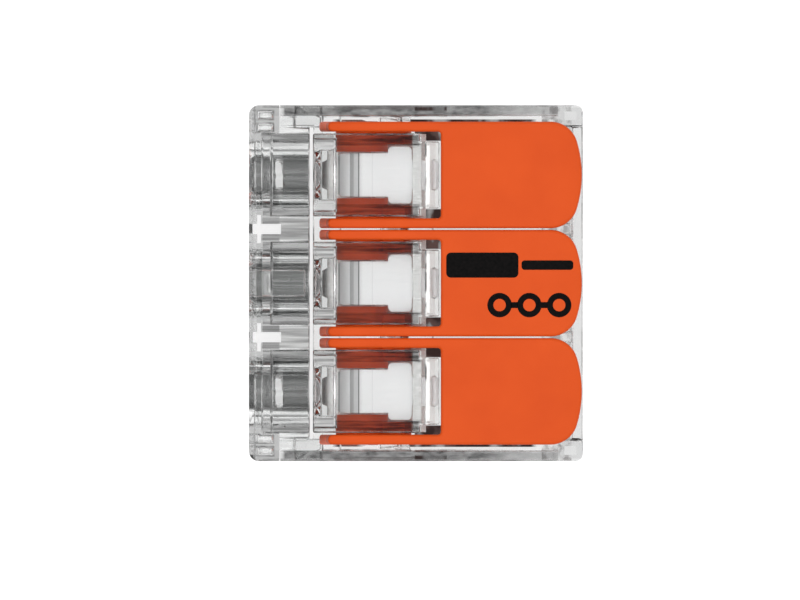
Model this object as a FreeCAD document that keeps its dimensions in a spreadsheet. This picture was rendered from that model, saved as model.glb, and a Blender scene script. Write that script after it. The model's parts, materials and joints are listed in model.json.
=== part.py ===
"""Three-pole lever wire connector: a clear housing with a snap-in entry cover, one busbar,
three clamp springs and three levers.

Lengths are millimetres. Every sub-part is drawn in its own body with X measured back from the
front face, Y across its pole and Z up from the base, and its Placement then sets it in the
assembly: the wires enter along +X, the levers' tips point to +X, and the origin is the centre of
the footprint on the base plane.
"""
import FreeCAD, Part
import math
import os
import re

import Sketcher

doc = FreeCAD.newDocument("lever_connector")

DIMS = {
    # Overall size. The levers, closed, are the highest things on the connector.
    "body_width": 22.7,
    "body_depth": 21.3,
    "lever_top": 10.1,
    "pole_pitch": 6.9,
    # Housing shell.
    "side_wall": 0.68,
    "floor_top": 0.8,
    "side_top": 9.3,
    "corner_round": 0.45,
    "floor_front": 4.08,
    "floor_span": 19.9,
    "rear_wall": 0.7,
    "rear_top": 8.6,
    "post_length": 1.58,
    "post_width": 1.36,
    "post_top": 8.8,
    "post_skin": 0.4,
    "rib_width": 0.65,
    "rib_top": 7.7,
    "rib_front": 10.2,
    "rib_front_height": 4.2,
    "rib_shoulder": 11.7,
    "saddle_width": 1.4,
    "saddle_inner": 2.75,
    "saddle_front": 5.8,
    "saddle_rear": 10.3,
    "seat_angle": 25,
    "seat_gap": 0.05,
    "fit_gap": 0.1,
    # Entry cover.
    "cover_depth": 2.0,
    "cover_top": 9.4,
    "cover_gap": 0.05,
    "cover_round": 0.65,
    "bevel_depth": 0.5,
    "bevel_height": 0.4,
    "cover_rear": 3.88,
    "core_front": 0.6,
    "core_rear": 1.55,
    "core_top": 8.7,
    "core_outer": 10.95,
    "core_middle": 10.45,
    "core_rib": 0.3,
    "core_inner": 9.65,
    "latch_thickness": 0.75,
    "latch_catch": 2.95,
    "latch_rear": 4.6,
    "latch_top": 2.0,
    "latch_sink": 0.15,
    "block_front": 0.84,
    "block_slope": 0.6,
    "block_top": 9.8,
    "block_width": 5.3,
    "web_front": 0.26,
    "web_slot": 0.65,
    "web_rear": 2.05,
    "web_cross": 0.65,
    "web_cross_half": 0.12,
    "web_cross_reach": 0.9,
    "test_slot_half": 0.86,
    "test_slot_low": 7.2,
    "test_slot_high": 8.4,
    "test_slot_rear": 3.6,
    "drain_half": 2.1,
    "drain_front": 1.8,
    "drain_rear": 2.25,
    "sight_front": 1.27,
    "sight_rear": 1.5,
    # Guides of the housing, each with a tongue that reaches back over its lever's shafts.
    "guide_rear": 5.5,
    "guide_width": 4.5,
    "tongue_floor": 8.3,
    "tongue_step": 10.9,
    "tongue_rear": 12.15,
    "tongue_tip_width": 4.29,
    "tongue_slope": 11.3,
    "tongue_lip": 0.4,
    "gate_depth": 5.57,
    "gate_radius": 1.5,
    "gate_sink": 0.12,
    # Wire entries.
    "entry_height": 3.6,
    "mouth_radius": 2.8,
    "entry_radius": 2.3,
    "entry_start": 0.5,
    "throat_start": 4.57,
    "throat_radius": 1.6,
    "doorway_top": 5.2,
    # Lever.
    "pivot_depth": 7.2,
    "pivot_height": 5.0,
    "lever_width": 6.8,
    "arm_inner": 2.76,
    "disc_radius": 2.7,
    "top_radius": 5.1,
    "window_front": 3.0,
    "window_rear": 12.24,
    "window_round": 0.2,
    "plate_floor": 8.95,
    "lever_tip": 21.24,
    "tip_top": 9.55,
    "tip_edge": 0.3,
    "droop_start": 17.8,
    "droop_radius": 11.03,
    "front_angle": 114.7,
    "neck_angle": 20,
    "neck_rear": 11.0,
    "neck_height": 7.55,
    "neck_round": 0.7,
    "flange_front": 11.65,
    "flange_height": 8.0,
    "flange_bend": 12.6,
    "flange_rear": 19.3,
    "lip_rear": 20.5,
    "tip_corner": 1.75,
    "tip_round": 7.4,
    "shaft_radius": 1.66,
    "shaft_inner": 1.48,
    "cam_inner": 1.86,
    "flank_inner": 1.95,
    "flank_radius": 3.17,
    "flank_top_angle": 30,
    "flank_floor": 0.25,
    "edge_round": 0.22,
    "front_round": 0.28,
    # Clamp spring, one strip whose bend is centred on the clamp leg's flexing axis.
    "strip_thickness": 0.35,
    "bend_depth": 7.0,
    "bend_height": 6.55,
    "bend_radius": 1.175,
    "leaf_width": 2.82,
    "leaf_wide": 3.7,
    "leaf_step": 8.88,
    "leaf_rear": 10.38,
    "hook_width": 1.9,
    "hook_rear": 11.3,
    "leg_width": 2.7,
    "leg_slope": 45.0,
    "leg_length": 5.61,
    "ear_span": 5.2,
    "ear_start": 2.5,
    "ear_end": 3.3,
    # Busbar.
    "bar_thickness": 0.8,
    "bar_front": 8.6,
    "bar_rear": 11.3,
    "bar_span": 19.0,
    "tab_front": 4.65,
    "tab_width": 3.13,
    "tab_nose": 1.6,
    "tab_neck": 1.94,
    "tab_shoulder": 4.97,
    "lead_in": 1.0,
    "lead_in_drop": 0.12,
    "tab_gap": 0.1,
    "ridge_front": 8.95,
    "ridge_length": 0.5,
    "ridge_height": 0.12,
    "frame_front": 10.45,
    "frame_rear": 11.0,
    "frame_span": 5.2,
    "frame_post": 0.6,
    "frame_top": 8.25,
    "frame_web": 6.95,
    "hook_gap": 0.03,
}

# Poles, each with how many pitches it lies along +Y from the middle one.
POLES = {1: 1, 2: 0, 3: -1}

# Walls between neighbouring poles, in pitches from the middle pole.
PARTITIONS = (0.5, -0.5)

# The cam under each lever shaft, and the room beside it for the ear that the cam lifts, both
# drawn from the pivot.
CAM = ((-1.55, -0.5), (-1.1, -2.3), (-0.43, -2.6), (-0.28, -1.95), (0, -1.79), (0.28, -1.57), (0.3, -0.5))
EAR_BITE = ((0.3, -1.55), (0.58, -1.08), (0.86, -0.83), (3, -2.97), (0.3, -2.97))

# Higher and lower than anything on the connector, for cuts that go right through.
ABOVE = "12"
BELOW = "-1"

# Sketch plane of each drawing direction, and the side of it that its normal points to.
PLANES = {"XY": ("XY_Plane", 1), "XZ": ("XZ_Plane", -1), "YZ": ("YZ_Plane", 1)}


def make_sheet():
    """Write the driving dimensions into the document's spreadsheet."""
    sheet = doc.addObject("Spreadsheet::Sheet", "dims")
    for row, (alias, value) in enumerate(DIMS.items(), start=1):
        sheet.set(f"A{row}", alias)
        sheet.set(f"B{row}", str(value))
        sheet.setAlias(f"B{row}", alias)
    doc.recompute()
    return sheet


sheet = make_sheet()


def bound(text):
    """Turn the sheet's aliases in a formula into references to the sheet."""
    return re.sub(r"\b[a-z]+_[a-z_]+\b", lambda word: "dims." + word.group(), str(text))


def value(text):
    """The number that a formula gives now."""
    return float(sheet.evalExpression(bound(text)))


def new_body(label, pole=0):
    """An empty body, placed in the assembly on its pole."""
    body = doc.addObject("PartDesign::Body", label)
    body.Label = label
    body.setExpression("Placement.Base.x", bound("-body_depth / 2"))
    body.setExpression("Placement.Base.y", bound(f"({pole}) * pole_pitch"))
    return body


def new_sketch(body, name, plane, level, lift="0"):
    """A sketch on a plane at a level of the body, raised along its own vertical by lift."""
    role, side = PLANES[plane]
    sketch = body.newObject("Sketcher::SketchObject", name)
    origin_plane = [item for item in body.Origin.OriginFeatures if item.Role == role][0]
    sketch.AttachmentSupport = [(origin_plane, "")]
    sketch.MapMode = "FlatFace"
    sketch.setExpression("AttachmentOffset.Base.z", bound(f"{side} * ({level})"))
    sketch.setExpression("AttachmentOffset.Base.y", bound(lift))
    return sketch


def bind(sketch, constraint, name, formula):
    """Add a dimension to a sketch and bind it to a formula."""
    index = sketch.addConstraint(constraint)
    sketch.renameConstraint(index, name)
    sketch.setExpression("Constraints." + name, bound(formula))


def draw_disc(sketch, across, up, radius):
    """Draw a circle whose centre and radius follow formulas."""
    centre = FreeCAD.Vector(value(across), value(up), 0)
    circle = Part.Circle(centre, FreeCAD.Vector(0, 0, 1), value(radius))
    index = sketch.addGeometry(circle, False)
    name = f"disc{index}"
    bind(sketch, Sketcher.Constraint("DistanceX", -1, 1, index, 3, centre.x), name + "x", across)
    bind(sketch, Sketcher.Constraint("DistanceY", -1, 1, index, 3, centre.y), name + "y", up)
    bind(sketch, Sketcher.Constraint("Radius", index, circle.Radius), name + "r", radius)


def arc_between(start, end, radius):
    """The arc from start to end of less than half a turn, anticlockwise for a positive radius."""
    if radius < 0:
        start, end = end, start
    chord = end - start
    middle = (start + end) * 0.5
    rise = math.sqrt(max(radius * radius - chord.Length ** 2 / 4, 0))
    centre = middle + FreeCAD.Vector(-chord.y, chord.x, 0).normalize() * rise
    first = math.atan2(start.y - centre.y, start.x - centre.x)
    last = math.atan2(end.y - centre.y, end.x - centre.x)
    circle = Part.Circle(centre, FreeCAD.Vector(0, 0, 1), abs(radius))
    return Part.ArcOfCircle(circle, first, last)


def draw_outline(sketch, points):
    """Draw a closed outline. A third item in a point is the radius of the arc that follows it."""
    places = [FreeCAD.Vector(value(point[0]), value(point[1]), 0) for point in points]
    joints = []
    for index, point in enumerate(points):
        start = places[index]
        end = places[(index + 1) % len(points)]
        if len(point) == 3:
            radius = value(point[2])
            edge = sketch.addGeometry(arc_between(start, end, radius), False)
            formula = point[2] if radius > 0 else f"-({point[2]})"
            bind(sketch, Sketcher.Constraint("Radius", edge, abs(radius)), f"edge{edge}r", formula)
            joints.append((edge, 1, 2) if radius > 0 else (edge, 2, 1))
        else:
            edge = sketch.addGeometry(Part.LineSegment(start, end), False)
            joints.append((edge, 1, 2))
    for index, point in enumerate(points):
        edge, first, last = joints[index]
        follower, follower_first, follower_last = joints[(index + 1) % len(points)]
        sketch.addConstraint(Sketcher.Constraint("Coincident", edge, last, follower, follower_first))
        across = Sketcher.Constraint("DistanceX", -1, 1, edge, first, places[index].x)
        up = Sketcher.Constraint("DistanceY", -1, 1, edge, first, places[index].y)
        bind(sketch, across, f"point{edge}x", point[0])
        bind(sketch, up, f"point{edge}y", point[1])


def draw(sketch, wires):
    """Draw each wire of a sketch: a list is an outline's points, a tuple is a disc."""
    for wire in wires:
        if isinstance(wire, tuple):
            draw_disc(sketch, *wire)
        else:
            draw_outline(sketch, wire)


def extrude(body, kind, name, plane, low, high, wires):
    """Add or cut a prism whose section is drawn on a plane, from one level to another."""
    side = PLANES[plane][1]
    sketch = new_sketch(body, name + "_sketch", plane, low if side > 0 else high)
    draw(sketch, wires)
    feature = body.newObject("PartDesign::" + kind, name)
    feature.Profile = sketch
    feature.setExpression("Length", bound(f"({high}) - ({low})"))
    if kind == "Pocket":
        feature.Reversed = True
    return feature


def pad(body, name, plane, low, high, *wires):
    """Add a prism from low to high."""
    return extrude(body, "Pad", name, plane, low, high, wires)


def cut(body, name, plane, low, high, *wires):
    """Cut a prism from low to high."""
    return extrude(body, "Pocket", name, plane, low, high, wires)


def turn_cut(body, name, middle, profile):
    """Cut a turned shape whose axis lies along a wire entry."""
    sketch = new_sketch(body, name + "_sketch", "XZ", middle, "entry_height")
    draw(sketch, [profile])
    groove = body.newObject("PartDesign::Groove", name)
    groove.Profile = sketch
    groove.ReferenceAxis = (sketch, ["H_Axis"])
    groove.Angle = 360
    return groove


def block(left, right, bottom, top):
    """The outline of a rectangle."""
    return [(left, bottom), (right, bottom), (right, top), (left, top)]


def round_edges(body, name, chosen, radius):
    """Round the edges of a body that a test picks by their middle and length."""
    doc.recompute()
    base = body.Tip
    names = []
    for index, edge in enumerate(base.Shape.Edges, start=1):
        middle = edge.valueAt((edge.FirstParameter + edge.LastParameter) / 2)
        if chosen(middle, edge):
            names.append(f"Edge{index}")
    fillet = body.newObject("PartDesign::Fillet", name)
    fillet.Base = (base, names)
    fillet.setExpression("Radius", bound(radius))
    return fillet


def from_pivot(points):
    """Outline points given from the lever's pivot, as formulas."""
    return [(f"pivot_depth + ({across})", f"pivot_height + ({up})") for across, up in points]


def housing_shell(body):
    """Floor, side walls, rear wall and rear corner posts, which are cored out from below."""
    half = "body_width / 2"
    inner = "body_width / 2 - side_wall"
    post = "body_width / 2 - post_width"
    rear = "body_depth - rear_wall"
    post_front = "body_depth - post_length"
    outside = [
        ("cover_depth", f"-{half}"),
        ("body_depth - corner_round", f"-{half}", "corner_round"),
        ("body_depth", f"-{half} + corner_round"),
        ("body_depth", f"{half} - corner_round", "corner_round"),
        ("body_depth - corner_round", half),
        ("cover_depth", half),
    ]
    pad(body, "shell", "XY", "0", "side_top", outside)
    inside = [
        ("cover_depth - 1", f"-({inner})"),
        (post_front, f"-({inner})"),
        (post_front, f"-({post})"),
        (rear, f"-({post})"),
        (rear, post),
        (post_front, post),
        (post_front, inner),
        ("cover_depth - 1", inner),
    ]
    cut(body, "inside", "XY", "floor_top", ABOVE, inside)
    cut(body, "post_tops", "XY", "post_top", ABOVE,
        block(post_front, "body_depth + 1", f"-{half} - 1", f"{half} + 1"))
    cut(body, "rear_wall_top", "XY", "rear_top", ABOVE,
        block(f"{rear} - 1", "body_depth + 1", f"-({post})", post))
    core = [f"{post} + post_skin", f"{half} - post_skin"]
    for number, side in enumerate((1, -1), start=1):
        low, high = sorted([f"({side}) * ({edge})" for edge in core], key=value)
        cut(body, f"post_core{number}", "XY", BELOW, "post_top - post_skin",
            block(f"{post_front} + post_skin", "body_depth - post_skin", low, high))


def housing_partitions(body):
    """Ribs between the poles and the saddles that the lever discs turn on."""
    root = "floor_top - fit_gap"
    over_bar = "floor_top + bar_thickness + fit_gap"
    seat = "(disc_radius + seat_gap)"
    seat_low = f"pivot_height - {seat}"
    seat_end = (f"pivot_depth + {seat} * cos(seat_angle)", f"pivot_height - {seat} * sin(seat_angle)")
    saddle = [
        ("saddle_front", root),
        ("bar_front - fit_gap", root),
        ("bar_front - fit_gap", over_bar),
        ("saddle_rear", over_bar),
        ("saddle_rear", seat_end[1]),
        seat_end + (f"-{seat}",),
        ("pivot_depth", seat_low),
        ("saddle_front", seat_low),
    ]
    rib_end = "body_depth - rear_wall + fit_gap"
    rib = [
        ("bar_rear + fit_gap", root),
        (rib_end, root),
        (rib_end, "rib_top"),
        ("rib_shoulder", "rib_top"),
        ("rib_front", "rib_front_height"),
        ("rib_front", over_bar),
        ("bar_rear + fit_gap", over_bar),
    ]
    for number, step in enumerate(PARTITIONS, start=1):
        middle = f"({step}) * pole_pitch"
        pad(body, f"rib{number}", "XZ", f"{middle} - rib_width / 2", f"{middle} + rib_width / 2", rib)
        pad(body, f"saddle{number}", "XZ", f"{middle} - saddle_width / 2",
            f"{middle} + saddle_width / 2", saddle)
    inner = "pole_pitch + saddle_inner"
    wall = "body_width / 2 - side_wall / 2"
    pad(body, "saddle_left", "XZ", inner, wall, saddle)
    pad(body, "saddle_right", "XZ", f"-({wall})", f"-({inner})", saddle)


def housing_guide(body, number, pole):
    """The guide that funnels one wire to its busbar tab, and the tongue over its lever."""
    middle = f"({pole}) * pole_pitch"
    profile = [
        ("floor_front", "floor_top - fit_gap"),
        ("guide_rear", "floor_top - fit_gap"),
        ("guide_rear", "tongue_floor"),
        ("tongue_step", "tongue_floor"),
        ("tongue_step", "block_top"),
        ("floor_front", "block_top"),
    ]
    pad(body, f"guide{number}", "XZ", f"{middle} - block_width / 2", f"{middle} + block_width / 2",
        profile)
    for flank, side in enumerate((1, -1), start=1):
        inner = f"{middle} + ({side}) * guide_width / 2"
        outer = f"{middle} + ({side}) * (block_width / 2 + fit_gap)"
        low, high = sorted((inner, outer), key=value)
        cut(body, f"guide_flank{number}_{flank}", "XZ", low, high,
            block("floor_front - 1", "guide_rear + fit_gap", "floor_top", "tongue_floor"))
    tip = [
        ("tongue_step - fit_gap", "tongue_floor"),
        ("tongue_rear", "tongue_floor"),
        ("tongue_rear", "tongue_floor + tongue_lip"),
        ("tongue_slope", "block_top"),
        ("tongue_step - fit_gap", "block_top"),
    ]
    pad(body, f"tip{number}", "XZ", f"{middle} - tongue_tip_width / 2",
        f"{middle} + tongue_tip_width / 2", tip)
    funnel = [
        ("floor_front - 0.5", "0"),
        ("throat_start", "0"),
        ("throat_start", "throat_radius"),
        ("floor_front", "entry_radius"),
        ("floor_front - 0.5", "entry_radius"),
    ]
    turn_cut(body, f"funnel{number}", middle, funnel)
    half = "(tab_width / 2 + tab_gap)"
    cut(body, f"tab_doorway{number}", "YZ", "throat_start - 0.02", "guide_rear + 1",
        block(f"{middle} - {half}", f"{middle} + {half}", "floor_top", "doorway_top"))


def make_housing():
    """The clear housing that holds the busbar, the springs and the levers."""
    body = new_body("housing_body")
    housing_shell(body)
    edge = "(floor_span / 2 + cover_gap)"
    cut(body, "floor_front_edge", "XY", BELOW, "floor_top + fit_gap",
        block("cover_depth - 1", "floor_front", f"-{edge}", edge))
    housing_partitions(body)
    for number, pole in POLES.items():
        housing_guide(body, number, pole)
    across = "body_width / 2 + 1"
    window = block("latch_catch - cover_gap", "latch_rear + fit_gap",
                   "floor_top - cover_gap", "latch_top + fit_gap")
    cut(body, "latch_windows", "XZ", f"-({across})", f"-pole_pitch - block_width / 2", window)
    cut(body, "latch_windows_left", "XZ", "pole_pitch + block_width / 2", across, window)
    cut(body, "gate_mark", "XY", "block_top - gate_sink", ABOVE, ("gate_depth", "0", "gate_radius"))
    return body


def cover_plate(body):
    """Front plate with rounded corners and a bevelled top, and the floor behind it."""
    half = "body_width / 2"
    outside = [
        ("cover_depth - cover_gap", f"-{half}"),
        ("cover_depth - cover_gap", half),
        ("cover_round", half, "cover_round"),
        ("0", f"{half} - cover_round"),
        ("0", f"-{half} + cover_round", "cover_round"),
        ("cover_round", f"-{half}"),
    ]
    pad(body, "plate", "XY", "0", "cover_top", outside)
    pad(body, "floor", "XY", "0", "floor_top + cover_gap + 0.02",
        block("cover_depth - 1", "cover_rear", "-floor_span / 2", "floor_span / 2"))
    bevel = [
        ("-0.1", "cover_top - bevel_height"),
        ("bevel_depth", "cover_top + 0.1"),
        ("-0.1", "cover_top + 0.1"),
    ]
    cut(body, "top_bevel", "XZ", f"-{half} - 1", f"{half} + 1", bevel)


def cover_block(body, number, pole):
    """The block behind the front plate that guides one wire into its funnel."""
    middle = f"({pole}) * pole_pitch"
    profile = [
        ("block_front", "floor_top"),
        ("cover_rear", "floor_top"),
        ("cover_rear", "block_top"),
        ("block_front + block_slope", "block_top"),
        ("block_front", "cover_top"),
    ]
    pad(body, f"block{number}", "XZ", f"{middle} - block_width / 2", f"{middle} + block_width / 2",
        profile)
    bore = [
        ("-0.5", "0"),
        ("cover_rear + 0.5", "0"),
        ("cover_rear + 0.5", "entry_radius"),
        ("entry_start", "entry_radius"),
        ("0", "mouth_radius"),
        ("-0.5", "mouth_radius"),
    ]
    turn_cut(body, f"entry{number}", middle, bore)


def cover_drains(body, number, pole):
    """Two slots under the bore of an outer pole."""
    middle = f"({pole}) * pole_pitch"
    low = f"{middle} - drain_half"
    high = f"{middle} + drain_half"
    cut(body, f"sight{number}", "XY", BELOW, "entry_height", block("sight_front", "sight_rear", low, high))
    cut(body, f"drain{number}", "XY", BELOW, "entry_height", block("drain_front", "drain_rear", low, high))


def cover_latch(body, number, side):
    """A side arm of the cover whose hook snaps into a window of the housing."""
    inner = f"({side}) * (body_width / 2 - side_wall - latch_thickness)"
    outer = f"({side}) * (body_width / 2 - side_wall - cover_gap)"
    catch = f"({side}) * (body_width / 2 - latch_sink)"
    arm = [
        ("cover_depth - 0.5", inner),
        ("latch_rear", inner),
        ("latch_rear", outer),
        ("latch_catch", catch),
        ("latch_catch", outer),
        ("cover_depth - 0.5", outer),
    ]
    pad(body, f"latch{number}", "XY", "floor_top + cover_gap", "latch_top", arm)


def cover_cores(body, number, side):
    """Two pockets from below that keep one end of the front plate thin-walled."""
    pockets = (("core_middle", "core_outer"), ("core_inner", "core_middle - core_rib"))
    for pocket, edges in enumerate(pockets, start=1):
        low, high = sorted([f"({side}) * ({edge})" for edge in edges], key=value)
        cut(body, f"core{number}_{pocket}", "XY", BELOW, "core_top",
            block("core_front", "core_rear", low, high))


def cover_web(body, number, step):
    """The slot between neighbouring entries, crossed by a narrow one near its front."""
    middle = f"({step}) * pole_pitch"
    cut(body, f"web{number}", "XY", BELOW, ABOVE,
        block("web_front", "web_rear", f"{middle} - web_slot / 2", f"{middle} + web_slot / 2"))
    cut(body, f"cross{number}", "XY", BELOW, ABOVE,
        block("web_cross - web_cross_half", "web_cross + web_cross_half",
              f"{middle} - web_cross_reach", f"{middle} + web_cross_reach"))


def make_cover():
    """The clear cover with the wire entries, snapped into the front of the housing."""
    body = new_body("entry_cover")
    cover_plate(body)
    for number, pole in POLES.items():
        cover_block(body, number, pole)
        if pole:
            cover_drains(body, number, pole)
    for number, side in enumerate((1, -1), start=1):
        cover_latch(body, number, side)
        cover_cores(body, number, side)
    for number, step in enumerate(PARTITIONS, start=1):
        cover_web(body, number, step)
    cut(body, "test_slot", "YZ", BELOW, "test_slot_rear",
        block("-test_slot_half", "test_slot_half", "test_slot_low", "test_slot_high"))
    return body


def make_busbar():
    """The busbar that joins the three poles, with a tab and a spring frame in each."""
    body = new_body("busbar")
    top = "floor_top + bar_thickness"
    pad(body, "strip", "XY", "floor_top", top,
        block("bar_front", "bar_rear", "-bar_span / 2", "bar_span / 2"))
    ridge = [
        ("ridge_front", f"{top} - fit_gap"),
        ("ridge_front + ridge_length", f"{top} - fit_gap"),
        ("ridge_front + ridge_length", top),
        ("ridge_front + ridge_length / 2", f"{top} + ridge_height"),
        ("ridge_front", top),
    ]
    lead_in = [
        ("tab_front - fit_gap", f"{top} - lead_in_drop"),
        ("tab_front + lead_in", top),
        ("tab_front + lead_in", f"{top} + lead_in_drop"),
        ("tab_front - fit_gap", f"{top} + lead_in_drop"),
    ]
    for number, pole in POLES.items():
        middle = f"({pole}) * pole_pitch"
        edge = "tab_width / 2"
        tab = [
            ("tab_front", f"{middle} - tab_nose / 2"),
            ("tab_shoulder", f"{middle} - tab_neck / 2"),
            ("tab_shoulder", f"{middle} - {edge}"),
            ("bar_front + fit_gap", f"{middle} - {edge}"),
            ("bar_front + fit_gap", f"{middle} + {edge}"),
            ("tab_shoulder", f"{middle} + {edge}"),
            ("tab_shoulder", f"{middle} + tab_neck / 2"),
            ("tab_front", f"{middle} + tab_nose / 2"),
        ]
        pad(body, f"tab{number}", "XY", "floor_top", top, tab)
        cut(body, f"lead_in{number}", "XZ", f"{middle} - {edge} - fit_gap", f"{middle} + {edge} + fit_gap",
            lead_in)
        pad(body, f"ridge{number}", "XZ", f"{middle} - {edge}", f"{middle} + {edge}", ridge)
        low = f"{middle} - frame_span / 2"
        high = f"{middle} + frame_span / 2"
        pad(body, f"frame{number}", "YZ", "frame_front", "frame_rear",
            block(low, high, f"{top} - fit_gap", "frame_top"))
        cut(body, f"doorway{number}", "YZ", "frame_front - 1", "frame_rear + 1",
            block(f"{low} + frame_post", f"{high} - frame_post", top, "frame_web"))
        hook_level = "bend_height + bend_radius"
        room = "(strip_thickness / 2 + hook_gap)"
        across = "(hook_width / 2 + cover_gap)"
        cut(body, f"hook_slot{number}", "YZ", "frame_front - 1", "frame_rear + 1",
            block(f"{middle} - {across}", f"{middle} + {across}",
                  f"{hook_level} - {room}", f"{hook_level} + {room}"))
    return body


def on_bend(radius, angle):
    """A point around the spring's bend, at a radius and an angle in degrees."""
    return (f"bend_depth + ({radius}) * cos({angle})", f"bend_height + ({radius}) * sin({angle})")


def make_spring(number, pole):
    """The spring's upper leaf with its hook, and the bend that the clamp leg flexes on."""
    body = new_body(f"spring_{number}", pole)
    inner = "bend_radius - strip_thickness / 2"
    outer = "bend_radius + strip_thickness / 2"
    leaf_top = f"bend_height + {outer}"
    leaf_under = f"bend_height + {inner}"
    end = "180 + leg_slope"
    strip = [
        ("leaf_rear", leaf_under),
        ("leaf_rear", leaf_top),
        ("bend_depth", leaf_top, outer),
        on_bend(outer, end),
        on_bend(inner, end) + (f"-({inner})",),
        ("bend_depth", leaf_under),
    ]
    pad(body, "strip", "XZ", "-leaf_width / 2", "leaf_width / 2", strip)
    pad(body, "wide_end", "XY", leaf_under, leaf_top,
        block("leaf_step", "leaf_rear", "-leaf_wide / 2", "leaf_wide / 2"))
    pad(body, "hook", "XY", leaf_under, leaf_top,
        block("leaf_rear - 0.1", "hook_rear", "-hook_width / 2", "hook_width / 2"))
    return body


def along_leg(distance, rise):
    """A point along the clamp leg from the bend, raised off the strip's middle."""
    start = on_bend("bend_radius", "180 + leg_slope")
    return (f"{start[0]} + ({distance}) * cos(leg_slope) + ({rise}) * sin(leg_slope)",
            f"{start[1]} - ({distance}) * sin(leg_slope) + ({rise}) * cos(leg_slope)")


def leg_slab(start, end):
    """The outline of the strip between two distances along the clamp leg."""
    under = "-strip_thickness / 2"
    over = "strip_thickness / 2"
    return [along_leg(start, under), along_leg(end, under), along_leg(end, over), along_leg(start, over)]


def make_clamp_leg(number, pole):
    """The clamp leg: the spring's free end, with two ears that the lever's cams lift."""
    body = new_body(f"clamp_leg_{number}", pole)
    pad(body, "leg", "XZ", "-leg_width / 2", "leg_width / 2", leg_slab("0", "leg_length"))
    pad(body, "ears", "XZ", "-ear_span / 2", "ear_span / 2", leg_slab("ear_start", "ear_end"))
    return body


def lever_profile():
    """Side outline of the lever: discs, front edge, top and the handle's tapering flanges."""
    disc_exit = ("pivot_depth + disc_radius * cos(neck_angle)",
                 "pivot_height - disc_radius * sin(neck_angle)")
    front_top = ("pivot_depth + top_radius * cos(front_angle)",
                 "pivot_height + top_radius * sin(front_angle)")
    return [
        ("pivot_depth - disc_radius", "pivot_height", "disc_radius"),
        disc_exit,
        ("neck_rear", "neck_height", "-neck_round"),
        ("flange_front", "flange_height"),
        ("flange_bend", "flange_height + 0.05"),
        ("flange_rear", "plate_floor"),
        ("lip_rear", "plate_floor + 0.05"),
        ("lever_tip", "tip_top - tip_edge"),
        ("lever_tip", "tip_top", "droop_radius"),
        ("droop_start", "lever_top"),
        ("pivot_depth", "lever_top", "top_radius"),
        front_top,
    ]


def lever_tip_cut():
    """What is cut from the handle's end to leave its rounded tip."""
    centre = "(lever_tip - tip_round)"
    reach = "(tip_round - tip_corner)"
    half = "lever_width / 2"
    across = f"({half} - tip_corner)"
    corner = f"{centre} + sqrt({reach}^2 - {across}^2)"
    scale = f"tip_round / {reach}"
    end = f"{centre} + sqrt({reach}^2 - {across}^2) * {scale}"
    return [
        (corner, half, "-tip_corner"),
        (end, f"{across} * {scale}", "-tip_round"),
        (end, f"-{across} * {scale}", "-tip_corner"),
        (corner, f"-{half}"),
        (corner, f"-{half} - 1"),
        ("lever_tip + 1", f"-{half} - 1"),
        ("lever_tip + 1", f"{half} + 1"),
        (corner, f"{half} + 1"),
    ]


def lever_flanks(body):
    """The stiffening sectors inside the arms, behind the shafts."""
    sector = from_pivot([
        ("shaft_radius / 2", "-flank_floor"),
        ("sqrt(flank_radius^2 - flank_floor^2)", "-flank_floor"),
        ("flank_radius * cos(flank_top_angle)", "flank_radius * sin(flank_top_angle)"),
        ("shaft_radius / 2", "flank_radius * sin(flank_top_angle) / 2"),
    ])
    sector[1] += ("flank_radius",)
    for number, side in enumerate((1, -1), start=1):
        edges = (f"({side}) * flank_inner", f"({side}) * (arm_inner + 0.02)")
        low, high = sorted(edges, key=value)
        pad(body, f"flank{number}", "XZ", low, high, sector)


def make_lever(number, pole):
    """A lever: two arms with pivot discs, a handle plate, and the cams that lift the leg's ears."""
    body = new_body(f"lever_{number}", pole)
    half = "lever_width / 2"
    pad(body, "sides", "XZ", f"-{half}", half, lever_profile())
    window = [
        ("window_front", "-arm_inner"),
        ("window_rear - window_round", "-arm_inner", "window_round"),
        ("window_rear", "-arm_inner + window_round"),
        ("window_rear", "arm_inner - window_round", "window_round"),
        ("window_rear - window_round", "arm_inner"),
        ("window_front", "arm_inner"),
    ]
    cut(body, "window", "XY", BELOW, ABOVE, window)
    cut(body, "hollow", "XZ", "-arm_inner", "arm_inner",
        block("neck_rear", "flange_rear", "pivot_height + 1", "plate_floor"))
    cut(body, "tip", "XY", BELOW, ABOVE, lever_tip_cut())
    shaft = ("pivot_depth", "pivot_height", "shaft_radius")
    pad(body, "shafts", "XZ", "-arm_inner - 0.02", "arm_inner + 0.02", shaft)
    pad(body, "cams", "XZ", "-arm_inner - 0.02", "arm_inner + 0.02", from_pivot(CAM))
    around = from_pivot([(-3, -3), (3, -3), (3, 2.2), (-3, 2.2)])
    cut(body, "cam_gap", "XZ", "-cam_inner", "cam_inner", around, shaft)
    cut(body, "leaf_gap", "XZ", "-shaft_inner", "shaft_inner", around)
    lever_flanks(body)
    cut(body, "ear_bite", "XZ", "-arm_inner", "arm_inner", from_pivot(EAR_BITE))

    def on_top(middle, edge):
        """Long outer edges along the top of the arms and the handle."""
        high = middle.z > value("tip_top") - 0.1
        outer = abs(middle.y) > value(half) - 0.01
        at_tip = middle.x > value("lever_tip") - 2.2 and abs(middle.y) < value(half)
        sides = outer and edge.Length > 1.5 and middle.x < value("lever_tip") - 2
        return high and (sides or at_tip)

    def at_front(middle, edge):
        """Upright edges at the front of the arms."""
        ahead = middle.x < value("pivot_depth - top_radius / 2 + 0.6")
        return ahead and edge.Length > 3 and middle.z > 6

    round_edges(body, "front_edges", at_front, "front_round")
    round_edges(body, "soft_edges", on_top, "edge_round")
    return body


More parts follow.
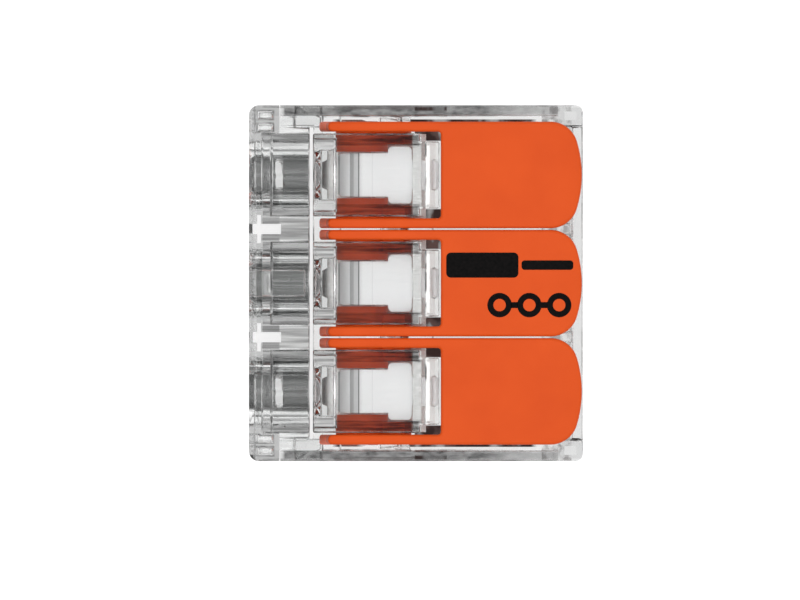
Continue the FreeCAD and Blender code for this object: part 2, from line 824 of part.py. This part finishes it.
def check(parts):
    """Stop unless the document recomputed cleanly and every sub-part is one valid solid."""
    for item in doc.Objects:
        if "Invalid" in item.State or "Error" in item.State:
            raise RuntimeError(f"{item.Label} failed to recompute: {item.State}")
    for part in parts:
        shape = part.Shape
        if shape.isNull() or not shape.isValid() or len(shape.Solids) != 1:
            raise RuntimeError(f"{part.Label} isn't one valid solid")


def main():
    """Build every sub-part, check it and write it as STEP."""
    parts = [make_housing(), make_cover(), make_busbar()]
    for number, pole in POLES.items():
        parts.append(make_spring(number, pole))
        parts.append(make_clamp_leg(number, pole))
        parts.append(make_lever(number, pole))
    doc.recompute()
    check(parts)
    os.makedirs("parts", exist_ok=True)
    for part in parts:
        part.Shape.exportStep(f"parts/{part.Label}.step")
        box = part.Shape.BoundBox
        size = f"{box.XLength:.2f} x {box.YLength:.2f} x {box.ZLength:.2f}"
        print(f"{part.Label}: {part.Shape.Volume:.1f} mm3, {size}")


main()
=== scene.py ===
"""Three-pole lever wire connector: clear housing, tinned busbar, clamp springs and orange levers.

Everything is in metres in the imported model's frame: the wires enter along +X, the levers' tips
point to +X, Y runs across the poles and Z is up. MM turns a length in millimetres into metres.
"""
import json
import math

import bmesh
import bpy
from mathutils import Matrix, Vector
from mathutils.bvhtree import BVHTree

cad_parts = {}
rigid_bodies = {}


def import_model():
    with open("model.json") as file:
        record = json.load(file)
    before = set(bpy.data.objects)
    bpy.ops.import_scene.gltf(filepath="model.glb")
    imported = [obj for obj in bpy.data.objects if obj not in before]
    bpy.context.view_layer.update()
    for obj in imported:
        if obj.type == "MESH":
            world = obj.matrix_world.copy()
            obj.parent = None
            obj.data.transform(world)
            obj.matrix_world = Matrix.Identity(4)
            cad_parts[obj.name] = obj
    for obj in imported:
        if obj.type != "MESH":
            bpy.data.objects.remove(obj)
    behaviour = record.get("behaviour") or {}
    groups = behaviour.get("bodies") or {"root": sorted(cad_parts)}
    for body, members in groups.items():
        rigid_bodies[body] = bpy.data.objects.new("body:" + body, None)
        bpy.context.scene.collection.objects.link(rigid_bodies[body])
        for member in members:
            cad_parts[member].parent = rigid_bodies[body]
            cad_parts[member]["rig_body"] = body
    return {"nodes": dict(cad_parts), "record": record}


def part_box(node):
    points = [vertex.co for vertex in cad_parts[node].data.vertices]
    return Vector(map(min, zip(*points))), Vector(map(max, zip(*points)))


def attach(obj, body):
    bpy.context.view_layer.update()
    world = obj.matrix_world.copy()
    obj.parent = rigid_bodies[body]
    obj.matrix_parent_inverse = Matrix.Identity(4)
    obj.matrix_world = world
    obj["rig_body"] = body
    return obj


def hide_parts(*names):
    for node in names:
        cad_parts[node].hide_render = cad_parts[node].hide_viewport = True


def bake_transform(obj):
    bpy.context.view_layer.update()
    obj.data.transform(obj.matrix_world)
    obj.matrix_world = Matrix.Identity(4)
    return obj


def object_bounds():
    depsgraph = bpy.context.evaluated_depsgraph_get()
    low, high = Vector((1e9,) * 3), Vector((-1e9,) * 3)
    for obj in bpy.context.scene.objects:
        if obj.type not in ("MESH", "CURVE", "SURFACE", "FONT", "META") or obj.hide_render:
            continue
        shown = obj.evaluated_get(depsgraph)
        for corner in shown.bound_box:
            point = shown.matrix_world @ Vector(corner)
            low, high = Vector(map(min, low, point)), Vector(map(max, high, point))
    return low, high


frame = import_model()
cad_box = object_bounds()
nodes = frame["nodes"]
scene = bpy.context.scene
MM = 0.001
POLES = (1, 2, 3)

# Places in the imported model that the painted shade tints and the roundings follow, in millimetres.
entry = next(mount for mount in frame["record"]["mounts"] if mount["name"] == "wire_entry_1")
ENTRY_HEIGHT = entry["pos_m"][2] / MM
ENTRY_RADIUS = entry["dims"]["r_mm"]
PITCH = (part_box("lever_1")[0].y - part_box("lever_2")[0].y) / MM
FRONT = cad_box[0][0] / MM
REAR = cad_box[1][0] / MM
SIDE_INNER = cad_box[1][1] / MM - 0.68
SIDE_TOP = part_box("housing_body")[1].z / MM - 0.5
COVER_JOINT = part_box("housing_body")[0].x / MM
WEB_FRONT = FRONT + 0.2
WEB_REAR = FRONT + 2.3
WEB_HALF = 1.1
POST_FRONT = REAR - 1.9
POST_INNER = SIDE_INNER - 0.6
POST_OUTER = SIDE_INNER + 0.5


# ---------------------------------------------------------------- node helpers

def new_material(name):
    """A node material with its tree and its Principled shader."""
    mat = bpy.data.materials.new(name)
    mat.use_nodes = True
    return mat, mat.node_tree, mat.node_tree.nodes["Principled BSDF"]


def connect(tree, value, socket):
    """Link a socket's value to an input, or set the input to a plain value."""
    if isinstance(value, bpy.types.NodeSocket):
        tree.links.new(value, socket)
    else:
        socket.default_value = value


def node(tree, kind, properties=None, **inputs):
    """Add a node. A keyword is an input's name with _ for a space."""
    made = tree.nodes.new("ShaderNode" + kind)
    for key, value in (properties or {}).items():
        setattr(made, key, value)
    for key, value in inputs.items():
        connect(tree, value, made.inputs[key.replace("_", " ")])
    return made


def place(tree, scale=(1, 1, 1)):
    """The point on the object in millimetres, stretched by a scale."""
    coordinates = node(tree, "TexCoord").outputs["Object"]
    in_mm = tuple(factor / MM for factor in scale)
    return node(tree, "Mapping", Vector=coordinates, Scale=in_mm).outputs["Vector"]


def split_place(tree):
    """The point's three coordinates in millimetres, by axis."""
    made = node(tree, "SeparateXYZ", Vector=place(tree))
    return {axis: made.outputs[axis] for axis in "XYZ"}


def noise(tree, vector, scale=1.0, detail=3.0, roughness=0.5):
    """A noise value from 0 to 1."""
    made = node(tree, "TexNoise", Vector=vector, Scale=scale, Detail=detail, Roughness=roughness)
    return made.outputs["Fac"]


def remap(tree, value, low, high, new_low, new_high):
    """A value taken from one range to another and kept inside it."""
    made = node(tree, "MapRange", Value=value, From_Min=low, From_Max=high, To_Min=new_low, To_Max=new_high)
    return made.outputs["Result"]


def math_node(tree, operation, *values):
    """The result of an operation on one, two or three values."""
    made = node(tree, "Math", {"operation": operation})
    for socket, value in zip(made.inputs, values):
        connect(tree, value, socket)
    return made.outputs["Value"]


def product(tree, *values):
    """Several values multiplied together."""
    result = values[0]
    for value in values[1:]:
        result = math_node(tree, "MULTIPLY", result, value)
    return result


def largest(tree, *values):
    """The largest of several values."""
    result = values[0]
    for value in values[1:]:
        result = math_node(tree, "MAXIMUM", result, value)
    return result


def ramp(tree, value, *stops):
    """A colour ramp from (position, colour) pairs."""
    made = node(tree, "ValToRGB", Fac=value)
    elements = made.color_ramp.elements
    for index, (position, colour) in enumerate(stops):
        element = elements[index] if index < 2 else elements.new(position)
        element.position = position
        element.color = (*colour, 1)
    return made.outputs["Color"]


def grey_ramp(tree, value, *stops):
    """A colour ramp from (position, grey) pairs."""
    return ramp(tree, value, *[(position, (grey, grey, grey)) for position, grey in stops])


def mix(tree, share, first, second, blend="MIX"):
    """The first colour, changed by the second one by a share."""
    made = node(tree, "Mix", {"data_type": "RGBA", "blend_type": blend})
    connect(tree, share, made.inputs[0])
    # The node's colour sockets come after its number and vector sockets.
    for colour, socket in ((first, made.inputs[6]), (second, made.inputs[7])):
        connect(tree, (*colour, 1) if isinstance(colour, tuple) else colour, socket)
    return made.outputs[2]


def bump(tree, shader, height, depth):
    """Bump the shader by a height from 0 to 1, depth millimetres deep."""
    made = node(tree, "Bump", Height=height, Strength=1.0, Distance=depth * MM)
    tree.links.new(made.outputs["Normal"], shader.inputs["Normal"])


def set_inputs(shader, **inputs):
    """Set plain values on a shader's sockets."""
    for key, value in inputs.items():
        shader.inputs[key.replace("_", " ")].default_value = value


# ---------------------------------------------------------------- painted shade and reflections on the clear plastic
#
# The masks paint shade and reflections into the clear plastic's colour where it looks dark or streaky
# from above, because it refracts and reflects dark surroundings there. They follow the part's own
# coordinates, never the camera.

def inside(tree, value, low, high, soft=0.05):
    """1 where a value in millimetres lies between two limits, fading over a soft edge."""
    above = remap(tree, value, low - soft, low, 0, 1)
    below = remap(tree, value, high, high + soft, 1, 0)
    return product(tree, above, below)


def on_top(tree, axes):
    """1 on the faces that look up from the housing's full height."""
    return remap(tree, axes["Z"], SIDE_TOP - 0.2, SIDE_TOP - 0.1, 0, 1)


def bore_mask(tree, axes):
    """1 on the lower half of the wire entries' bores, which look like grey panels."""
    rise = math_node(tree, "SUBTRACT", axes["Z"], ENTRY_HEIGHT)
    squares = [product(tree, value, value) for value in (axes["pole"], rise)]
    radius = math_node(tree, "SQRT", math_node(tree, "ADD", *squares))
    in_bore = inside(tree, radius, 0, ENTRY_RADIUS + 0.04)
    lower_half = inside(tree, rise, -3, -0.1, 0.3)
    return product(tree, in_bore, lower_half, inside(tree, axes["X"], FRONT + 0.25, FRONT + 4.6))


def wall_mask(tree, axes):
    """1 in patches along the tops of the side walls, and faint on the rear wall and the rear posts."""
    side = remap(tree, axes["wide"], SIDE_INNER - 0.02, SIDE_INNER, 0, 1)
    fading = remap(tree, axes["X"], 4.0, 9.0, 1.0, 0.6)
    housing = remap(tree, axes["X"], FRONT + 2.1, FRONT + 2.3, 0.25, 1.0)
    patches = remap(tree, noise(tree, place(tree, (1.1, 2.6, 0.5)), 1.0, 2.0), 0.35, 0.65, 0.85, 1.0)
    rear = remap(tree, axes["X"], REAR - 0.45, REAR - 0.4, 0, 0.3)
    sides = product(tree, side, fading, housing, patches)
    tops = product(tree, largest(tree, sides, rear), on_top(tree, axes))
    posts = product(tree, inside(tree, axes["X"], POST_FRONT, REAR),
                    inside(tree, axes["wide"], POST_INNER, POST_OUTER))
    return largest(tree, tops, product(tree, posts, 0.12))


def block_mask(tree, axes):
    """1 in streaks along the blocks around the wire entries, over the throats and between the blocks."""
    along = axes["X"]
    across = axes["across"]
    sides = product(tree, inside(tree, across, 1.7, 2.6), inside(tree, along, FRONT + 0.9, FRONT + 5.4))
    throat = product(tree, inside(tree, across, 0, 2.6), inside(tree, along, FRONT + 4.1, FRONT + 4.6), 0.4)
    between = product(tree, inside(tree, across, 2.75, 3.6), inside(tree, along, FRONT + 0.9, FRONT + 3.9),
                      remap(tree, axes["wide"], 8, 8.1, 0.75, 0))
    tops = product(tree, largest(tree, sides, throat), on_top(tree, axes))
    streaks = remap(tree, noise(tree, place(tree, (0.2, 4.0, 1.0)), 1.0, 2.0), 0.38, 0.58, 0.25, 1.0)
    return product(tree, largest(tree, tops, between), streaks)


def floor_mask(tree, axes):
    """1 in patches of the housing's floor that stand in for the levers' reflections in it, as painted
    reflections.
    """
    along = axes["X"]
    side = product(tree, inside(tree, axes["wide"], SIDE_INNER - 0.37, SIDE_INNER - 0.24, 0.03),
                   inside(tree, along, FRONT + 5.7, FRONT + 18, 0.4))
    corner = product(tree, inside(tree, axes["across"], 2.2, 2.8),
                     inside(tree, along, FRONT + 10.6, FRONT + 12.6))
    # Speckle of the painted reflections on the floor near the rear wall.
    reflection_speckle = remap(tree, noise(tree, place(tree), 2.2, 3.0), 0.42, 0.58, 0.1, 0.75)
    rear = product(tree, inside(tree, along, REAR - 2.6, REAR - 0.75), reflection_speckle)
    patches = remap(tree, noise(tree, place(tree, (0.9, 0.6, 0.6)), 1.0, 2.0), 0.4, 0.52, 0.6, 1.0)
    low = remap(tree, axes["Z"], 1.3, 1.4, 1, 0)
    return product(tree, largest(tree, side, corner, rear), low, patches)


def flank_mask(tree, axes):
    """1 in streaks on the guides' flanks, beside the springs."""
    guide_start = FRONT + 5.6
    area = product(tree, inside(tree, axes["across"], 1.9, 2.7),
                   inside(tree, axes["X"], guide_start, FRONT + 10.8, 0.3), on_top(tree, axes))
    streaks = remap(tree, noise(tree, place(tree, (0.35, 5.0, 1.0)), 1.0, 3.0), 0.38, 0.6, 0.4, 1.0)
    growing = remap(tree, axes["X"], guide_start, FRONT + 9.0, 0.75, 1.0)
    return product(tree, area, streaks, growing)


def edge_mask(tree, axes):
    """1 on the rounded edges, in patches and weaker towards the rear."""
    edge_line = node(tree, "Attribute", {"attribute_name": "edge_line"}).outputs["Fac"]
    patches = remap(tree, noise(tree, place(tree), 0.9, 2.0), 0.4, 0.6, 0.35, 1.0)
    return product(tree, edge_line, patches, remap(tree, axes["X"], 7.5, 9.0, 1.0, 0.7))


PAINTED_SHADE_TINTS = (
    (bore_mask, (0.042, 0.044, 0.043)),
    (wall_mask, (0.015, 0.015, 0.015)),
    (block_mask, (0.2, 0.2, 0.2)),
    (floor_mask, (0.03, 0.009, 0.007)),
    (flank_mask, (0.03, 0.025, 0.025)),
    (edge_mask, (0.01, 0.01, 0.01)),
)


# ---------------------------------------------------------------- materials

def clear_plastic(name, absorption):
    """Tinted clear polycarbonate with faint flow waves and haze, greyer where it is thick, with the masks'
    painted shade and reflections.
    """
    mat, tree, shader = new_material(name)
    set_inputs(shader, Transmission_Weight=1.0, IOR=1.585)
    axes = split_place(tree)
    axes["wide"] = math_node(tree, "ABSOLUTE", axes["Y"])
    axes["pole"] = math_node(tree, "WRAP", axes["Y"], PITCH / 2, -PITCH / 2)
    axes["across"] = math_node(tree, "ABSOLUTE", axes["pole"])
    flow = noise(tree, place(tree, (0.25, 0.6, 0.6)), 1.0, 3.0)
    colour = ramp(tree, flow, (0.3, (0.95, 0.955, 0.95)), (0.7, (0.98, 0.985, 0.985)))
    # Paint each mask's shade and reflections over the plastic's own colour.
    for mask, tint in PAINTED_SHADE_TINTS:
        colour = mix(tree, mask(tree, axes), colour, tint)
    tree.links.new(colour, shader.inputs["Base Color"])
    haze = noise(tree, place(tree), 2.5, 4.0)
    tree.links.new(remap(tree, haze, 0.35, 0.75, 0.01, 0.05), shader.inputs["Roughness"])
    bump(tree, shader, flow, 0.004)
    volume = node(tree, "VolumeAbsorption", Color=(0.0, 0.0, 0.0, 1), Density=absorption / MM)
    tree.links.new(volume.outputs["Volume"], tree.nodes["Material Output"].inputs["Volume"])
    return mat


def orange_plastic():
    """Moulded polyamide with a fine spark-eroded grain and slow changes of shade.

    The lobes below the handles are painted lighter, to make up for the tinted guides in front of them, which
    darken them.
    """
    mat, tree, shader = new_material("orange_lever")
    set_inputs(shader, IOR=1.5, Specular_IOR_Level=0.12)
    shade = noise(tree, place(tree), 0.35, 2.0)
    handle = ramp(tree, shade, (0.3, (0.445, 0.049, 0.0035)), (0.7, (0.475, 0.055, 0.0045)))
    painted_lobe_light = remap(tree, split_place(tree)["Z"], SIDE_TOP - 0.9, SIDE_TOP - 0.8, 1, 0)
    colour = mix(tree, painted_lobe_light, handle, (0.85, 0.105, 0.012))
    tree.links.new(colour, shader.inputs["Base Color"])
    grain = noise(tree, place(tree), 14.0, 3.0, 0.6)
    tree.links.new(remap(tree, grain, 0.3, 0.7, 0.38, 0.5), shader.inputs["Roughness"])
    bump(tree, shader, grain, 0.006)
    return mat


def brushed_metal(name, low, high, rough, metallic, along):
    """Rolled metal with fine lines along one axis. Low and high are its darkest and lightest greys."""
    mat, tree, shader = new_material(name)
    set_inputs(shader, Metallic=metallic)
    lines = noise(tree, place(tree, along), 1.0, 4.0, 0.6)
    colour = ramp(tree, lines, (0.3, low), (0.7, high))
    tree.links.new(colour, shader.inputs["Base Color"])
    tree.links.new(remap(tree, lines, 0.3, 0.7, rough * 0.85, rough * 1.15), shader.inputs["Roughness"])
    bump(tree, shader, lines, 0.0006)
    return mat


def add_bend_bands(mat):
    """Painted reflections: grey bands across the springs' bends, as a studio's reflections band a curved
    strip.
    """
    tree = mat.node_tree
    base_colour = tree.nodes["Principled BSDF"].inputs["Base Color"]
    steel = base_colour.links[0].from_socket
    axes = split_place(tree)
    share = remap(tree, axes["X"], FRONT + 5.7, FRONT + 8.2, 0, 1)
    bands = grey_ramp(tree, share, (0.0, 0.05), (0.05, 1.0), (0.29, 1.0), (0.305, 0.42), (0.39, 0.46),
                      (0.4, 0.62), (0.5, 0.66), (0.51, 0.2), (0.53, 0.2), (0.545, 0.85), (0.64, 1.0),
                      (0.855, 1.0), (0.87, 0.86), (0.885, 1.0))
    upper = remap(tree, axes["Z"], 6.9, 7.0, 0, 1)
    tree.links.new(mix(tree, upper, steel, bands, "MULTIPLY"), base_colour)


def printing_ink():
    """Matt black pad-printing ink, a little uneven where it lies thin."""
    mat, tree, shader = new_material("black_print")
    set_inputs(shader, IOR=1.5, Specular_IOR_Level=0.02)
    cover = noise(tree, place(tree), 6.0, 4.0)
    colour = ramp(tree, cover, (0.3, (0.002, 0.002, 0.002)), (0.8, (0.006, 0.005, 0.005)))
    tree.links.new(colour, shader.inputs["Base Color"])
    tree.links.new(remap(tree, cover, 0.3, 0.7, 0.45, 0.6), shader.inputs["Roughness"])
    return mat


clear_housing = clear_plastic("clear_housing", 0.012)
clear_cover = clear_plastic("clear_cover", 0.047)
tinned = brushed_metal("tinned_busbar", (0.90, 0.90, 0.89), (0.98, 0.98, 0.97), 0.22, 0.75, (1.5, 12, 12))
spring_steel = brushed_metal("spring_steel", (0.93, 0.94, 0.95), (0.99, 0.995, 1.0), 0.45, 0.3, (0.8, 14, 14))
add_bend_bands(spring_steel)
orange = orange_plastic()
ink = printing_ink()


# ---------------------------------------------------------------- mesh helpers

def new_piece(name, bm, finish, body):
    """Make an object from a bmesh, give it its finish and ride it on a body."""
    mesh = bpy.data.meshes.new(name)
    bm.to_mesh(mesh)
    bm.free()
    mesh.materials.append(finish)
    piece = bpy.data.objects.new(name, mesh)
    scene.collection.objects.link(piece)
    if body:
        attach(piece, body)
    return piece


def shade_by_angle(bm, sharp_angle):
    """Smooth the faces and keep the edges sharper than an angle, in degrees."""
    for face in bm.faces:
        face.smooth = True
    for edge in bm.edges:
        edge.smooth = len(edge.link_faces) == 2 and edge.calc_face_angle() < math.radians(sharp_angle)


def weight_normals(piece):
    """Lay the normals along the large faces, so that only the rounded edges bend the light."""
    modifier = piece.modifiers.new("weighted", "WEIGHTED_NORMAL")
    modifier.keep_sharp = True
    with bpy.context.temp_override(object=piece, active_object=piece, selected_objects=[piece]):
        bpy.ops.object.modifier_apply(modifier=modifier.name)


# ---------------------------------------------------------------- clear moulded pieces

def stays_sharp(point):
    """True at the cover's joint, around the slots between the wire entries and in the rear posts."""
    x = point.x / MM
    wide = abs(point.y) / MM
    at_joint = abs(x - COVER_JOINT) < 0.1
    in_web = abs(wide - PITCH / 2) < WEB_HALF and WEB_FRONT < x < WEB_REAR
    in_post = POST_INNER < wide < POST_OUTER and POST_FRONT < x < REAR - 0.2
    return at_joint or in_web or in_post


def can_be_rounded(edge, radius):
    """True for a sharp edge with room for a rounding on both sides."""
    if edge.calc_face_angle() < math.radians(30) or edge.calc_length() < 2.5 * radius:
        return False
    if stays_sharp((edge.verts[0].co + edge.verts[1].co) / 2):
        return False
    widths = [face.calc_area() / max(side.calc_length() for side in face.edges) for face in edge.link_faces]
    return min(widths) > 2.1 * radius


def round_node(name, piece_name, radius, finish):
    """Stand a copy of a CAD node in for it, with its sharp edges rounded as moulding rounds them."""
    bm = bmesh.new()
    bm.from_mesh(nodes[name].data)
    edge_line = bm.verts.layers.float.new("edge_line")
    bmesh.ops.remove_doubles(bm, verts=bm.verts, dist=0.0001 * MM)
    bmesh.ops.dissolve_limit(bm, angle_limit=math.radians(0.5), verts=bm.verts, edges=bm.edges)
    rounded = [edge for edge in bm.edges if can_be_rounded(edge, radius)]
    made = bmesh.ops.bevel(bm, geom=rounded, offset=radius, segments=3, profile=0.5, affect="EDGES",
                           clamp_overlap=False)
    roundings = set(made["faces"])
    for vert in made["verts"]:
        vert[edge_line] = float(all(face in roundings for face in vert.link_faces))
    shade_by_angle(bm, 50)
    piece = new_piece(piece_name, bm, finish, nodes[name]["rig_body"])
    weight_normals(piece)
    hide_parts(name)
    return piece


# ---------------------------------------------------------------- clamp springs

# The springs' strip, in millimetres and degrees.
STRIP_THICKNESS = 0.35
STRIP_EDGE = 0.07
BEND_RADIUS = 1.175
BEND_TURN = 135
LEAF_HALF = 1.41
LEG_HALF = 1.35
LEG_LENGTH = 5.61


def rounded_run(start, end, half_width, round_start, round_end):
    """Stations (distance, half width) of one run of strip with rounded corners at its ends."""
    steps = 5
    stations = []
    for step in range(steps + 1):
        turn = math.pi / 2 * step / steps
        inset = round_start * (1 - math.sin(turn))
        stations.append((start + round_start * (1 - math.cos(turn)), half_width - inset))
    for step in range(steps + 1):
        turn = math.pi / 2 * (steps - step) / steps
        inset = round_end * (1 - math.sin(turn))
        stations.append((end - round_end * (1 - math.cos(turn)), half_width - inset))
    return stations


def strip_stations(leaf_length, bend_length):
    """Stations of a whole strip: hook, broad end, leaf, bend with its waist, leg, ears and tip."""
    stations = rounded_run(0, 0.9, 0.95, 0.2, 0.0)
    stations += rounded_run(0.92, 2.42, 1.85, 0.25, 0.3)
    stations += rounded_run(2.43, leaf_length, LEAF_HALF, 0.0, 0.0)
    bend_steps = 18
    for step in range(1, bend_steps):
        share = step / bend_steps
        waist = 0.16 * math.sin(math.pi * max(share - 0.33, 0) / 0.67) ** 2
        taper = (LEAF_HALF - LEG_HALF) * share
        stations.append((leaf_length + bend_length * share, LEAF_HALF - taper - waist))
    leg_start = leaf_length + bend_length
    stations += rounded_run(leg_start, leg_start + 2.48, LEG_HALF, 0.0, 0.0)
    stations += rounded_run(leg_start + 2.5, leg_start + 3.3, 2.6, 0.15, 0.15)
    stations += rounded_run(leg_start + 3.32, leg_start + LEG_LENGTH, LEG_HALF, 0.0, 0.12)
    return stations


def strip_ring(bm, pole, half_width, x, z, normal_x, normal_z):
    """A closed ring of vertices around the strip at one station, with rounded edges."""
    ring = []
    for side_y, side_n, first in ((1, 1, 0), (-1, 1, 90), (-1, -1, 180), (1, -1, 270)):
        for turn in (0, 30, 60, 90):
            angle = math.radians(first + turn)
            y = side_y * (half_width - STRIP_EDGE) + STRIP_EDGE * math.cos(angle)
            rise = side_n * (STRIP_THICKNESS / 2 - STRIP_EDGE) + STRIP_EDGE * math.sin(angle)
            ring.append(bm.verts.new(((x + rise * normal_x) * MM, pole + y * MM, (z + rise * normal_z) * MM)))
    return ring


def loft(bm, rings):
    """Join rings of vertices into one closed skin."""
    count = len(rings[0])
    for ring, after in zip(rings, rings[1:]):
        for index in range(count):
            follower = (index + 1) % count
            bm.faces.new((ring[index], ring[follower], after[follower], after[index]))
    bm.faces.new(list(reversed(rings[0])))
    bm.faces.new(rings[-1])


def clamp_spring(number):
    """One rolled strip that stands for a spring's fixed leaf and its moving leg."""
    low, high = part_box(f"spring_{number}")
    pole = (low.y + high.y) / 2
    hook_end = high.x / MM
    leaf_level = high.z / MM - STRIP_THICKNESS / 2
    bend_x = low.x / MM + BEND_RADIUS + STRIP_THICKNESS / 2
    leaf_length = hook_end - bend_x
    bend_length = BEND_RADIUS * math.radians(BEND_TURN)

    def on_strip(distance):
        """The strip's middle and the direction across its thickness, at a distance from the hook."""
        if distance < leaf_length:
            return hook_end - distance, leaf_level, 0.0, 1.0
        turn = min((distance - leaf_length) / BEND_RADIUS, math.radians(BEND_TURN))
        normal_x, normal_z = -math.sin(turn), math.cos(turn)
        along_leg = max(distance - leaf_length - bend_length, 0)
        x = bend_x + BEND_RADIUS * normal_x - along_leg * math.cos(math.radians(BEND_TURN))
        z = leaf_level - BEND_RADIUS + BEND_RADIUS * normal_z - along_leg * math.sin(math.radians(BEND_TURN))
        return x, z, normal_x, normal_z

    bm = bmesh.new()
    rings = [strip_ring(bm, pole, half_width, *on_strip(distance))
             for distance, half_width in strip_stations(leaf_length, bend_length)]
    loft(bm, rings)
    bmesh.ops.remove_doubles(bm, verts=bm.verts, dist=0.0005 * MM)
    bmesh.ops.recalc_face_normals(bm, faces=bm.faces)
    shade_by_angle(bm, 12)
    spring = new_piece(f"clamp_spring_{number}", bm, spring_steel, None)
    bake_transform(spring)
    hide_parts(f"spring_{number}", f"clamp_leg_{number}")
    return spring


# ---------------------------------------------------------------- printing on the middle lever

# The pictogram, in millimetres. It starts this far from the tip of the lever.
PRINT_START = 8.65
PRINT_LENGTH = 8.5
TERMINAL_PITCH = 1.9


def on_circle(x, y, radius, angle):
    """A point on a circle."""
    return x + radius * math.cos(angle), y + radius * math.sin(angle)


def bar_outline(left, right, bottom, top, corner):
    """Points of a bar with rounded corners."""
    corners = ((right - corner, top - corner, 0), (left + corner, top - corner, 90),
               (left + corner, bottom + corner, 180), (right - corner, bottom + corner, 270))
    return [on_circle(x, y, corner, math.radians(first + turn))
            for x, y, first in corners for turn in range(0, 91, 15)]


def ring_strips(x, y, outer, inner, parts=32):
    """Four-sided pieces of a ring."""
    turns = [2 * math.pi * part / parts for part in range(parts + 1)]
    return [[on_circle(x, y, outer, a), on_circle(x, y, outer, b),
             on_circle(x, y, inner, b), on_circle(x, y, inner, a)]
            for a, b in zip(turns, turns[1:])]


def pictogram_outlines(front, middle):
    """A stripped wire above three joined terminals."""
    outlines = [bar_outline(front, front + 4.6, middle + 0.35, middle + 1.95, 0.3),
                bar_outline(front + 4.8, front + 8.1, middle + 0.85, middle + 1.45, 0.2)]
    terminals = [front + 3.4 + TERMINAL_PITCH * step for step in range(3)]
    level = middle - 1.4
    for terminal in terminals:
        outlines += ring_strips(terminal, level, 0.78, 0.4)
    for left, right in zip(terminals, terminals[1:]):
        outlines.append(bar_outline(left + 0.75, right - 0.75, level - 0.19, level + 0.19, 0.02))
    return outlines


def lay_on_lever(bm, lever):
    """Give flat faces a little thickness and lay them on the top of a lever."""
    surface = BVHTree.FromObject(nodes[lever], bpy.context.evaluated_depsgraph_get())
    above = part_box(lever)[1].z + MM
    proud = 0.012 * MM
    depth = 0.03 * MM
    made = bmesh.ops.extrude_face_region(bm, geom=bm.faces[:])
    lifted = {item for item in made["geom"] if isinstance(item, bmesh.types.BMVert)}
    for vert in bm.verts:
        hit = surface.ray_cast(Vector((vert.co.x, vert.co.y, above)), Vector((0, 0, -1)))[0]
        vert.co.z = hit.z + proud if vert in lifted else hit.z + proud - depth


def print_pictogram(lever):
    """The pictogram, printed on a lever's handle."""
    low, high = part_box(lever)
    front = high.x / MM - PRINT_START
    middle = (low.y + high.y) / 2 / MM
    bm = bmesh.new()
    for outline in pictogram_outlines(front, middle):
        bm.faces.new([bm.verts.new((x * MM, y * MM, 0)) for x, y in outline])
    bmesh.ops.remove_doubles(bm, verts=bm.verts, dist=0.001 * MM)
    step = 0.25
    for index in range(1, int(PRINT_LENGTH / step)):
        geometry = bm.verts[:] + bm.edges[:] + bm.faces[:]
        cut = (front + index * step) * MM
        bmesh.ops.bisect_plane(bm, geom=geometry, dist=0.0001 * MM, plane_co=(cut, 0, 0), plane_no=(1, 0, 0))
    bmesh.ops.recalc_face_normals(bm, faces=bm.faces)
    lay_on_lever(bm, lever)
    bmesh.ops.recalc_face_normals(bm, faces=bm.faces)
    shade_by_angle(bm, 40)
    return new_piece("handle_pictogram", bm, ink, nodes[lever]["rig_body"])


# ---------------------------------------------------------------- the connector

finishes = {"busbar": tinned}
for number in POLES:
    finishes[f"lever_{number}"] = orange
for name, finish in finishes.items():
    nodes[name].data.materials.clear()
    nodes[name].data.materials.append(finish)

EDGE_RADIUS = 0.12 * MM
round_node("housing_body", "housing_shell", EDGE_RADIUS, clear_housing)
round_node("entry_cover", "cover_shell", EDGE_RADIUS, clear_cover)
for number in POLES:
    clamp_spring(number)
print_pictogram("lever_2")


# ---------------------------------------------------------------- stage, light and camera

def make_floor():
    """A pale floor, lit from inside like a light table."""
    bpy.ops.mesh.primitive_plane_add(size=0.6, location=(0, 0, -0.02 * MM))
    plane = bpy.context.object
    plane.name = "floor"
    mat, tree, shader = new_material("floor")
    grain = noise(tree, place(tree), 0.05, 2.0)
    tree.links.new(grey_ramp(tree, grain, (0.3, 0.32), (0.7, 0.36)), shader.inputs["Base Color"])
    set_inputs(shader, Roughness=0.9, Specular_IOR_Level=0.0,
               Emission_Color=(1, 1, 1, 1), Emission_Strength=0.8)
    plane.data.materials.append(mat)


def make_light():
    """A soft sky with a bright ring high up, a small darker spot straight above and a dim horizon."""
    world = bpy.data.worlds.new("studio")
    scene.world = world
    world.use_nodes = True
    tree = world.node_tree
    direction = node(tree, "TexCoord").outputs["Generated"]
    height = node(tree, "SeparateXYZ", Vector=direction).outputs["Z"]
    sky = grey_ramp(tree, height, (0.0, 0.28), (0.12, 0.32), (0.35, 1.2), (0.7, 1.75), (0.9, 1.8),
                    (0.93, 2.8), (0.985, 2.8), (0.993, 0.3))
    background = tree.nodes["Background"]
    tree.links.new(sky, background.inputs["Color"])
    background.inputs["Strength"].default_value = 1.0


def make_camera():
    """A camera without perspective, straight above the connector."""
    data = bpy.data.cameras.new("camera")
    data.type = "ORTHO"
    data.ortho_scale = 51.02 * MM
    data.clip_start = 1 * MM
    data.clip_end = 2
    camera = bpy.data.objects.new("camera", data)
    camera.location = (-1.011 * MM, -1.075 * MM, 200 * MM)
    scene.collection.objects.link(camera)
    scene.camera = camera


make_floor()
make_light()
make_camera()
scene.view_settings.view_transform = "Standard"
scene.cycles.max_bounces = 24
scene.cycles.transmission_bounces = 24
scene.cycles.glossy_bounces = 12
